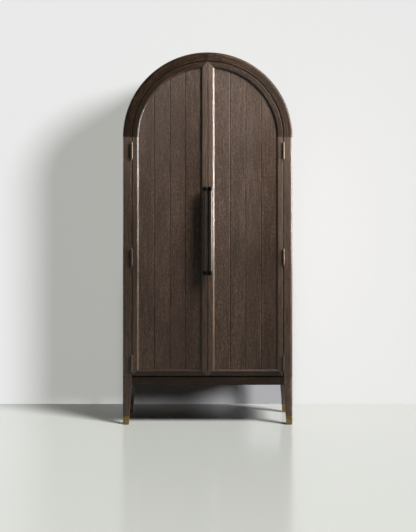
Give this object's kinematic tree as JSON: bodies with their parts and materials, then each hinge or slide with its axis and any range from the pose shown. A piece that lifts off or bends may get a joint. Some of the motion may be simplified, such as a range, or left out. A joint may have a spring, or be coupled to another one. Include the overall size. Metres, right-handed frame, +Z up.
{
  "type": "arched-top cabinet",
  "caption": "Tall arched-top wooden cabinet with two framed plank doors, long bar pulls, inside shelves, and tapered legs in metal foot caps.",
  "frame": {"origin": "on the floor, under the middle of the whole object's box, pulls included", "axes": "+X to the viewer's right, +Y from the doors to the back, +Z up"},
  "size_m": [1.016, 0.508, 2.229],
  "materials": {
    "oak_frame": "dark stained, open-grained oak under a low-sheen lacquer",
    "oak_boards": "dark stained, wire-brushed oak boards",
    "oak_interior": "dark stained oak veneer, satin",
    "oak_back": "dark stained plywood, matt",
    "brass": "aged brushed brass",
    "bronze_pulls": "dark bronze, satin",
    "bronze_fittings": "dark bronze, satin",
    "nylon": "black nylon",
    "magnet_steel": "nickel plated",
    "strike_steel": "zinc plated",
    "pin_steel": "bronze plated"
  },
  "bodies": {
    "case": {"front_left_leg": "oak_frame", "front_right_leg": "oak_frame", "back_left_leg": "oak_frame", "back_right_leg": "oak_frame", "front_left_foot_cap": "brass", "front_right_foot_cap": "brass", "back_left_foot_cap": "brass", "back_right_foot_cap": "brass", "foot_glides": "nylon", "front_apron": "oak_frame", "back_apron": "oak_frame", "left_apron": "oak_frame", "right_apron": "oak_frame", "left_side_panel": "oak_frame", "right_side_panel": "oak_frame", "arched_top": "oak_frame", "case_floor": "oak_interior", "left_case_stile": "oak_frame", "right_case_stile": "oak_frame", "left_case_arch": "oak_frame", "right_case_arch": "oak_frame", "back_panel": "oak_back", "wall_anchor_rail": "oak_interior", "crown_door_stop": "oak_interior", "catch_magnets": "magnet_steel", "shelf_1": "oak_interior", "shelf_2": "oak_interior", "shelf_3": "oak_interior", "shelf_4": "oak_interior", "shelf_pins": "pin_steel", "case_hinge_leaves": "bronze_fittings", "hinge_pins": "bronze_fittings", "case_hinge_screws": "bronze_fittings"},
    "left_door": {"left_door_hinge_stile": "oak_frame", "left_door_meeting_stile": "oak_frame", "left_door_bottom_rail": "oak_frame", "left_door_arch_rail": "oak_frame", "left_door_board_1": "oak_boards", "left_door_board_2": "oak_boards", "left_door_board_3": "oak_boards", "left_door_board_4": "oak_boards", "left_door_hinge_leaves": "bronze_fittings", "left_door_hinge_screws": "bronze_fittings", "left_pull_bar": "bronze_pulls", "left_pull_posts": "bronze_pulls", "left_door_strikes": "strike_steel"},
    "right_door": {"right_door_hinge_stile": "oak_frame", "right_door_meeting_stile": "oak_frame", "right_door_bottom_rail": "oak_frame", "right_door_arch_rail": "oak_frame", "right_door_board_1": "oak_boards", "right_door_board_2": "oak_boards", "right_door_board_3": "oak_boards", "right_door_board_4": "oak_boards", "right_door_hinge_leaves": "bronze_fittings", "right_door_hinge_screws": "bronze_fittings", "right_pull_bar": "bronze_pulls", "right_pull_posts": "bronze_pulls", "right_door_strikes": "strike_steel"}
  },
  "joints": [
    {"name": "left_door_hinge", "type": "hinge", "parent": "case", "child": "left_door", "pos_m": [-0.4535, -0.209, 1.0025], "axis": [0, 0, -1], "range_deg": [0, 170]},
    {"name": "right_door_hinge", "type": "hinge", "parent": "case", "child": "right_door", "pos_m": [0.4535, -0.209, 1.0025], "axis": [0, 0, 1], "range_deg": [0, 170]}
  ]
}
